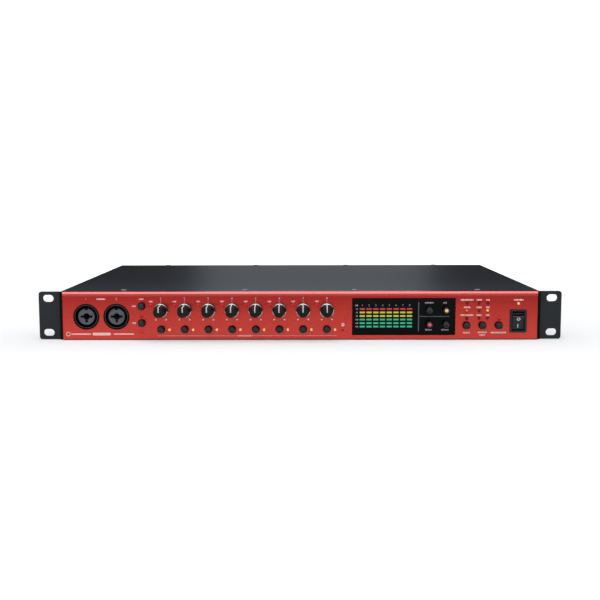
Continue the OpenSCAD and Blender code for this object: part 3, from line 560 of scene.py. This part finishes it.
def knob_profile(front, base):
    """Skirt, tapering body and slightly dished face, from the rear centre round to the front centre."""
    crown = [(FACE_R - CROWN_R + x, front + CROWN_R - y) for x, y in arc(0, 0, CROWN_R, 0, 90, 4)]
    return [(0, base + SHAFT_IN), (SHAFT_R, base + SHAFT_IN), (SHAFT_R, base - 0.1 * MM),
            (SKIRT_R - 0.4 * MM, base), (SKIRT_R, base - 0.35 * MM), (SKIRT_R, base - SKIRT_H + 0.6 * MM),
            (SKIRT_R - 0.35 * MM, base - SKIRT_H + 0.1 * MM), (NECK_R + 0.1 * MM, base - SKIRT_H - 0.5 * MM),
            (NECK_R - 0.05 * MM, base - SKIRT_H - 1.2 * MM), *crown,
            (FACE_R - 1.5 * MM, front + 0.05 * MM), (FACE_R - 2 * MM, front + 0.25 * MM),
            (0, front + 0.3 * MM)]


def add_knob(number):
    """A turned body, the polished ring on its skirt, and the white pointer on its neck and face."""
    node = f"gain_knob_{number}"
    low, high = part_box(node)
    center = center_of(node)
    base = FASCIA_Y - KNOB_GAP
    bm = bmesh.new()
    lathe(bm, center, knob_profile(low.y, base))
    piece(f"{node}_body", bm, KNOB, node, [node])

    bm = bmesh.new()
    ring_y = base - SKIRT_H
    lathe(bm, center, [(RING_R - RING_W / 2, ring_y - 0.3 * MM), (RING_R + RING_W / 2, ring_y + 0.15 * MM),
                       (RING_R + RING_W / 2, ring_y + 0.5 * MM), (RING_R - RING_W / 2, ring_y + 0.5 * MM)])
    piece(f"{node}_ring", bm, RIM, node)

    bm = bmesh.new()
    x, z = center
    path = [(z + NECK_R + 0.35 * MM, base - SKIRT_H - 0.6 * MM),
            (z + NECK_R + POINTER_LIFT, base - SKIRT_H - 1.4 * MM),
            (z + FACE_R + POINTER_LIFT, low.y + 0.75 * MM),
            (z + FACE_R - 0.2 * MM, low.y + 0.22 * MM - POINTER_LIFT),
            (z + FACE_R - CROWN_R, low.y - POINTER_LIFT), (z + 0.2 * MM, low.y - POINTER_LIFT)]
    inner = [(path_z - POINTER_T, path_y + POINTER_T) for path_z, path_y in path]
    rows = []
    for (oz, oy), (iz, iy) in zip(path, inner):
        rows.append([bm.verts.new((x + side * POINTER_W / 2, y, height))
                     for side, y, height in ((-1, iy, iz), (-1, oy, oz), (1, oy, oz), (1, iy, iz))])
    for a, b in zip(rows, rows[1:]):
        for i in range(4):
            j = (i + 1) % 4
            bm.faces.new([a[i], a[j], b[j], b[i]])
    bm.faces.new(rows[0])
    bm.faces.new(rows[-1][::-1])
    piece(f"{node}_pointer", bm, POINTER, node)


for channel in range(1, 9):
    add_knob(channel)


# Push buttons

CAP_R = 2.9 * MM
CAP_EDGE_R = 0.55 * MM
COLLAR_R = 3.8 * MM
COLLAR_T = 1.2 * MM
STEM_R = 1.5 * MM
STEM_L = 5.2 * MM
LIGHT_R = 1.9 * MM
LIGHT_DEEP = 0.6 * MM


def add_button(node, material=BUTTON):
    """A cap with a rounded edge and a dished face, its collar and its stem."""
    low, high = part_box(node)
    edge = [(CAP_R - CAP_EDGE_R + x, low.y + CAP_EDGE_R - y) for x, y in arc(0, 0, CAP_EDGE_R, 0, 90, 4)]
    collar = high.y - STEM_L
    bm = bmesh.new()
    lathe(bm, center_of(node), [(0, high.y), (STEM_R, high.y), (STEM_R, collar), (COLLAR_R, collar),
                                (COLLAR_R, collar - COLLAR_T), (CAP_R, collar - COLLAR_T), *edge,
                                (CAP_R - 1.1 * MM, low.y + 0.1 * MM), (CAP_R - 1.8 * MM, low.y + 0.28 * MM),
                                (0, low.y + 0.4 * MM)], steps=40)
    piece(f"{node}_cap", bm, material, node, [node])


def add_lit_face(node, material):
    """A glowing inset in the middle of a cap's face."""
    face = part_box(node)[0].y
    bm = bmesh.new()
    lathe(bm, center_of(node), [(0, face + 0.1 * MM), (1.5 * MM, face + 0.15 * MM),
                                (LIGHT_R, face + 0.25 * MM), (LIGHT_R, face + LIGHT_DEEP),
                                (0, face + LIGHT_DEEP)], steps=32)
    piece(f"{node}_light", bm, material, node)


BUTTONS = [n for n in NODES if "_button_" in n]
for button in sorted(BUTTONS):
    add_button(button, WINDOW_BUTTON if button.startswith("window") else BUTTON)
add_lit_face("window_button_2", YELLOW_LIT)
add_lit_face("window_button_3", RED_LIT)


# Lamps

DOME_H = 0.25 * MM


def add_lenses(name, node, boxes, material, radius):
    """Domed lens rods in place of some or all of a node's lamps."""
    bm = bmesh.new()
    for low, high in boxes:
        dome = [(radius * math.cos(a), low.y + DOME_H - DOME_H * math.sin(a))
                for a in (math.pi / 2 * i / 4 for i in range(4))]
        lathe(bm, middle((low, high)), [(0, high.y), (radius, high.y), *dome, (0, low.y)], steps=24)
    piece(name, bm, material, CHASSIS, [node])


def between(boxes, low_x, high_x):
    """The solids whose middle lies between two places on X, in mm."""
    return [box for box in boxes if low_x * MM < middle(box)[0] < high_x * MM]


LIT = solids_of("lit_lamps")
RATE_LAMP = between(LIT, 150, 160)
LOCK_LAMP = between(LIT, 165, 180)
AMBER_LAMPS = [box for box in LIT if box not in RATE_LAMP + LOCK_LAMP]
STATUS = solids_of("status_lamps")
SINGLE_LAMPS = between(STATUS, -150, -140) + between(STATUS, 180, 186)
DARK_LAMPS = [box for box in STATUS if box not in SINGLE_LAMPS]
add_lenses("amber_lenses", "lit_lamps", AMBER_LAMPS, AMBER, 1.0 * MM)
add_lenses("rate_lens", "lit_lamps", RATE_LAMP, ORANGE_LIT, 0.8 * MM)
add_lenses("lock_lens", "lit_lamps", LOCK_LAMP, GREEN_LIT, 1.1 * MM)
add_lenses("peak_lenses", "peak_lamps", solids_of("peak_lamps"), PEAK, 0.9 * MM)
add_lenses("single_status_lenses", "status_lamps", SINGLE_LAMPS, PEAK, 0.9 * MM)
add_lenses("status_lenses", "status_lamps", DARK_LAMPS, LENS_DARK, 1.1 * MM)


# Meter bars

BAR_HEIGHT = 0.82    # share of the CAD bar's height
BAR_CORNER = 0.35 * MM


def add_meter_bars(node, material):
    """Soft-cornered light bars in place of a node's plain ones."""
    bm = bmesh.new()
    for low, high in solids_of(node):
        outline = round_corners(high.x - low.x, (high.z - low.z) * BAR_HEIGHT, BAR_CORNER, 3)
        prism(bm, outline, middle((low, high)), low.y, high.y)
    piece(f"{node}_lit", bm, material, CHASSIS, [node])


add_meter_bars("meter_bars_red", BAR_RED)
add_meter_bars("meter_bars_yellow", BAR_YELLOW)
add_meter_bars("meter_bars_green", BAR_GREEN)


# Printing on the fascia and the window

INK_T = 0.05 * MM


def bar(bm, x, z, w, h, y):
    """A printed bar with round ends, centred."""
    outline = round_corners(w * MM, h * MM, min(w, h) * 0.45 * MM, 2)
    prism(bm, outline, (x * MM, z * MM), y - INK_T, y + INK_T)


def word(bm, x, z, w, h, y, gap=0.22):
    """A row of plain blocks that takes the room of a word but spells nothing."""
    count = max(2, round(w / (h * 0.75)))
    step = w / count
    for i in range(count):
        bar(bm, x - w / 2 + step * (i + 0.5), z, step * (1 - gap), h * (1 if i % 3 else 0.8), y)


def ring_mark(bm, x, z, outer, inner, y):
    """A printed ring."""
    lathe(bm, (x * MM, z * MM), [(inner * MM, y - INK_T), (outer * MM, y - INK_T), (outer * MM, y + INK_T),
                                 (inner * MM, y + INK_T)], steps=32)


def in_mm(node):
    """Middle of a node in X and Z, in mm."""
    return tuple(c / MM for c in center_of(node))


def numeral(bm, text, x, z, height, y):
    """A printed generic number."""
    digits(bm, text, (x * MM, z * MM), height * MM, y - INK_T, y + INK_T)


def print_channels(bm, pale):
    """Number, tick, end marks and peak label at each gain knob, and the line under the buttons."""
    for channel in range(1, 9):
        x = in_mm(f"gain_knob_{channel}")[0]
        numeral(bm, str(channel), x, 16.2, 2.1, FASCIA_Y)
        bar(pale, x, 13.4, 0.35, 2.4, FASCIA_Y)
        word(bm, x - 9.2, 13.5, 3.4, 1.6, FASCIA_Y)
        bar(bm, x - 4.7, -3.3, 1.5, 1.3, FASCIA_Y)
        bar(bm, x + 4.7, -3.3, 1.9, 1.3, FASCIA_Y)
    bar(pale, -94.3, -18.3, 73.4, 0.45, FASCIA_Y)
    bar(pale, -5.4, -18.3, 78.8, 0.45, FASCIA_Y)
    word(bm, -51.2, -18.3, 12.4, 1.4, FASCIA_Y)


def print_inputs(bm, pale):
    """Labels of the two front sockets and of the phantom-power buttons, and the ring-and-bar ornament."""
    numeral(pale, "1", -196.5, 15.8, 2.3, FASCIA_Y)
    numeral(pale, "2", -168.5, 15.8, 2.3, FASCIA_Y)
    word(bm, -182.7, 15.8, 8.4, 1.6, FASCIA_Y)
    word(bm, -145.5, 15.7, 4.4, 1.5, FASCIA_Y)
    word(bm, -152.6, 9.2, 3.6, 1.5, FASCIA_Y)
    word(bm, -152.6, -6.4, 3.6, 1.5, FASCIA_Y)
    ring_mark(bm, -213.4, -16.6, 2.0, 1.45, FASCIA_Y)
    bar(bm, -201.6, -16.6, 18.0, 1.1, FASCIA_Y)
    bar(bm, -182.6, -16.6, 17.0, 2.5, FASCIA_Y)
    bar(bm, -162.2, -16.6, 19.0, 1.1, FASCIA_Y)


def print_status(bm):
    """Labels of the status lamps, the clock buttons and the power lamp, and the ring over the pin hole."""
    for x, width in ((153.4, 12), (164.5, 5), (172.4, 3.5)):
        for z in (14.7, 7.85, 0.6):
            word(bm, x, z, width if z != 7.85 or x > 160 else 6, 1.6, FASCIA_Y)
    word(bm, in_mm("clock_button_1")[0], -15.6, 6.6, 1.7, FASCIA_Y)
    word(bm, in_mm("clock_button_2")[0], -15.4, 8.4, 1.7, FASCIA_Y)
    word(bm, in_mm("clock_button_2")[0], -17.9, 5.4, 1.7, FASCIA_Y)
    word(bm, in_mm("clock_button_3")[0] - 0.2, -15.6, 14.2, 1.7, FASCIA_Y)
    word(bm, 200.7, 14.65, 9, 1.6, FASCIA_Y)
    ring_mark(bm, 39.6, -8.1, 1.5, 0.6, FASCIA_Y)


def print_window(bm, lines):
    """Channel numbers, scale labels, dividers and button labels in the meter window."""
    tops = sorted({round(middle(box)[0] / MM, 2) for box in solids_of("meter_bars_red")})
    for channel, x in enumerate(tops, 1):
        numeral(bm, str(channel), x, 9.7, 1.9, WINDOW_Y)
    rows = {round(middle(box)[1] / MM, 2) for color in ("red", "yellow", "green")
            for box in solids_of(f"meter_bars_{color}")}
    for row, z in enumerate(sorted(rows, reverse=True)):
        word(bm, 52.4, z, 1.6 if row < 3 else 2.8, 1.5, WINDOW_Y)
    word(bm, 52.2, 9.7, 2.8, 1.7, WINDOW_Y)
    bar(lines, 109.1, -0.8, 0.9, 27.2, WINDOW_Y)
    bar(lines, 123.6, -0.6, 27.6, 0.7, WINDOW_Y)
    left, right = in_mm("window_button_1")[0], in_mm("window_button_2")[0]
    word(bm, left, 12, 8.2, 1.6, WINDOW_Y)
    word(bm, right - 0.8, 12, 3.6, 1.6, WINDOW_Y)
    word(bm, left - 0.6, -13, 6.2, 1.6, WINDOW_Y)
    word(bm, right - 0.6, -13, 7.0, 1.6, WINDOW_Y)


def print_rear(bm):
    """Channel numbers over the rear sockets, and plain bars over the other connectors."""
    jacks = [box for box in solids_of("combo_cores") if box[0].y > 0]
    for channel, box in enumerate(reversed(jacks), 3):
        digits(bm, str(channel), (middle(box)[0], 15.6 * MM), 3.2 * MM, REAR_Y - INK_T, REAR_Y + INK_T, 180)
    labels = (("dsub_connectors", 10.4, 16), ("optical_ports", 16.2, 7), ("bnc_sockets", -18.4, 9))
    for node, z, width in labels:
        for box in solids_of(node):
            if box[1].x - box[0].x > 5 * MM:
                word(bm, middle(box)[0] / MM, z, width, 1.8, REAR_Y)


white = bmesh.new()
pale = bmesh.new()
print_channels(white, pale)
print_inputs(white, pale)
print_status(white)
piece("fascia_print", white, INK)
piece("fascia_print_pale", pale, PALE_INK)
legend = bmesh.new()
dividers = bmesh.new()
print_window(legend, dividers)
rear = bmesh.new()
print_rear(rear)
piece("rear_print", rear, WINDOW_INK)
piece("window_print", legend, WINDOW_INK)
piece("window_dividers", dividers, WINDOW_LINE)


# Floor, camera and light

FLOOR_HALF = 6


def add_floor():
    """A plain pale floor that gives off more light further from the object."""
    bm = bmesh.new()
    corners = ((-1, -1), (1, -1), (1, 1), (-1, 1))
    bm.faces.new([bm.verts.new((x * FLOOR_HALF, y * FLOOR_HALF, FLOOR_Z)) for x, y in corners])
    mesh = bpy.data.meshes.new("floor")
    bm.to_mesh(mesh)
    bm.free()
    floor = bpy.data.objects.new("floor", mesh)
    bpy.context.scene.collection.objects.link(floor)
    material, tree, shader = start_material("pale_floor", Roughness=0.7, Emission_Strength=1)
    place = tree.nodes.new("ShaderNodeTexCoord")
    squeeze = tree.nodes.new("ShaderNodeMapping")
    squeeze.inputs["Scale"].default_value = (0.25, 1, 1)
    far = tree.nodes.new("ShaderNodeVectorMath")
    far.operation = "LENGTH"
    tree.links.new(place.outputs["Object"], squeeze.inputs["Vector"])
    tree.links.new(squeeze.outputs["Vector"], far.inputs[0])
    tree.links.new(ramp(tree, noise(tree, 3), [(0.3, grey(0.54)), (0.7, grey(0.56))]),
                   shader.inputs["Base Color"])
    tree.links.new(ramp(tree, far.outputs["Value"], [(0.04, grey(0.3)), (0.1, grey(0.38)), (0.25, grey(0.46)),
                                                    (1.0, grey(1))]), shader.inputs["Emission Color"])
    mesh.materials.append(material)


def add_camera():
    """The camera stands a little above the unit and looks down at it."""
    data = bpy.data.cameras.new("camera")
    data.lens = 57.25
    data.sensor_width = 36
    data.clip_end = 50
    camera = bpy.data.objects.new("camera", data)
    bpy.context.scene.collection.objects.link(camera)
    camera.location = (0.00365, -0.8772, 0.11705)
    camera.rotation_euler = [math.radians(a) for a in (90 - 6.71, 0.1, 0.218)]
    bpy.context.scene.camera = camera


def add_softbox(name, place, target, size, power, color=(1, 1, 1)):
    """A rectangular light of power watts at place, aimed at target."""
    data = bpy.data.lights.new(name, "AREA")
    data.shape = "RECTANGLE"
    data.size, data.size_y = size
    data.energy = power
    data.color = color
    lamp = bpy.data.objects.new(name, data)
    bpy.context.scene.collection.objects.link(lamp)
    lamp.location = place
    lamp.rotation_euler = (Vector(target) - Vector(place)).to_track_quat("-Z", "Y").to_euler()


def add_world():
    """White where the camera sees it directly, and a studio that is dark low down for reflections."""
    world = bpy.data.worlds.new("studio")
    bpy.context.scene.world = world
    world.use_nodes = True
    tree = world.node_tree
    tree.nodes.clear()
    output = tree.nodes.new("ShaderNodeOutputWorld")
    mix = tree.nodes.new("ShaderNodeMixShader")
    seen = tree.nodes.new("ShaderNodeLightPath")
    white = tree.nodes.new("ShaderNodeBackground")
    white.inputs["Color"].default_value = (1, 1, 1, 1)
    white.inputs["Strength"].default_value = 1.05
    soft = tree.nodes.new("ShaderNodeBackground")
    place = tree.nodes.new("ShaderNodeTexCoord")
    split = tree.nodes.new("ShaderNodeSeparateXYZ")
    tree.links.new(place.outputs["Generated"], split.inputs["Vector"])
    tree.links.new(ramp(tree, split.outputs["Z"], [(0.0, (0.01, 0.011, 0.013)), (0.3, (0.026, 0.028, 0.033)),
                                                   (0.75, (0.8, 0.82, 0.86))]), soft.inputs["Color"])
    tree.links.new(seen.outputs["Is Camera Ray"], mix.inputs["Fac"])
    tree.links.new(soft.outputs["Background"], mix.inputs[1])
    tree.links.new(white.outputs["Background"], mix.inputs[2])
    tree.links.new(mix.outputs["Shader"], output.inputs["Surface"])


add_floor()
add_camera()
add_world()
add_softbox("overhead", (0, -0.15, 1.3), (0, 0.05, 0), (1.4, 0.8), 11)
add_softbox("behind", (0.03, 1.6, 0.34), (0.03, 0.1, 0), (0.6, 0.3), 0.4, (0.88, 0.93, 1))
add_softbox("front_fill", (-0.5, -1.6, 0.9), (0, 0, 0), (1.2, 0.8), 6)
bpy.context.scene.view_settings.view_transform = "Standard"
